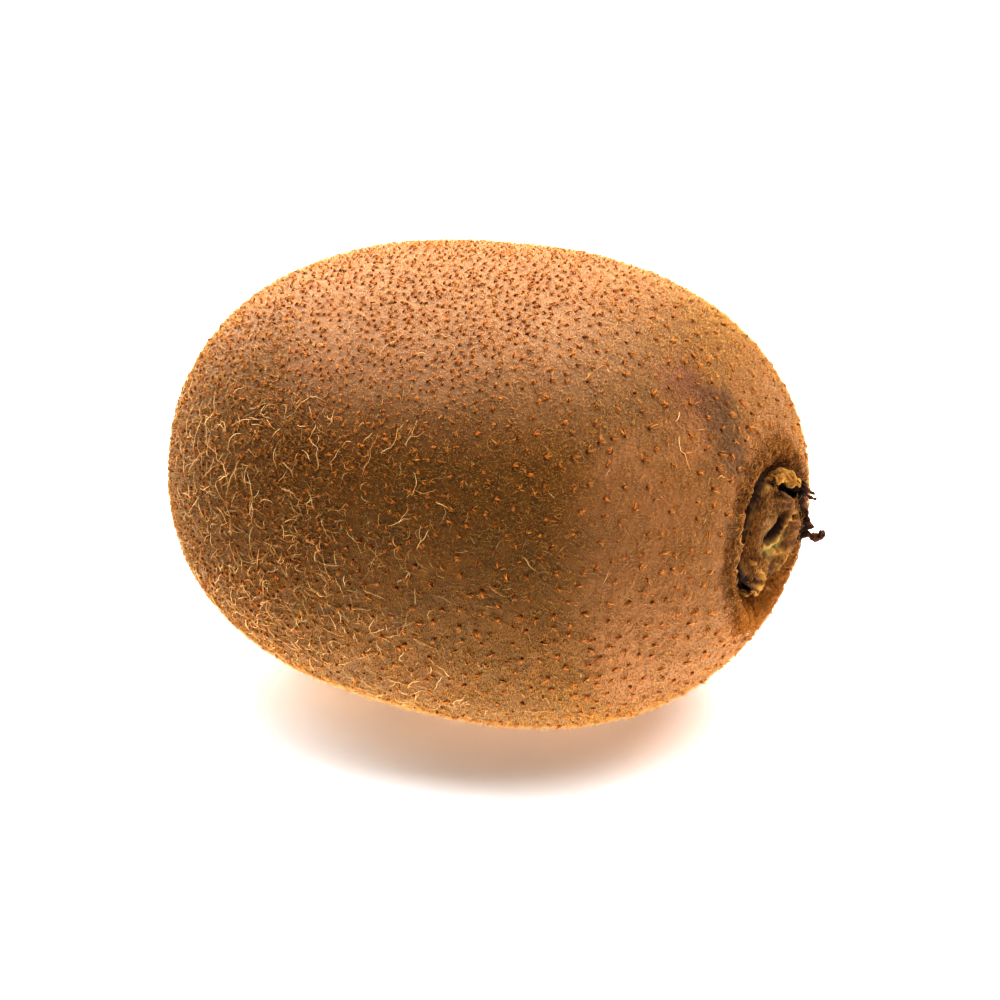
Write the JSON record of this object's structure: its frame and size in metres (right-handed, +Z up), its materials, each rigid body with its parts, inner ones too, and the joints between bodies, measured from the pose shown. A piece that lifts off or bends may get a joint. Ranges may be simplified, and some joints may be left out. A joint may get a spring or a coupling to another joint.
{
  "type": "kiwi fruit",
  "caption": "Whole brown-skinned kiwi fruit lying on its side on a small flat spot, with a woody stem button, dry sepals and a dried tuft at the blossom end.",
  "frame": {"origin": "on the surface that the fruit lies on, below the middle of its bounding box", "axes": "+X along the fruit's length towards its stem end, +Z up, +Y to the left of +X; the front of the picture's view is towards -Y and +X"},
  "size_m": [0.0664, 0.0542, 0.0474],
  "materials": {
    "skin": "thin brown skin with a dense short golden felt of hairs, matt",
    "stem_wood": "dry, cracked and fibrous, matt",
    "sepal_ochre": "dry, papery and brittle, matt",
    "sepal_brown": "dry and felted, matt",
    "sepal_dark": "dry, torn and curled, matt",
    "dry_style": "dry, hard and fibrous, matt"
  },
  "bodies": {
    "root": {"fruit": "skin", "stem_button": "stem_wood", "sepal_top": "sepal_ochre", "sepal_bottom": "sepal_ochre", "sepal_near": "sepal_brown", "sepal_far": "sepal_dark", "style_tuft": "dry_style"}
  },
  "joints": []
}
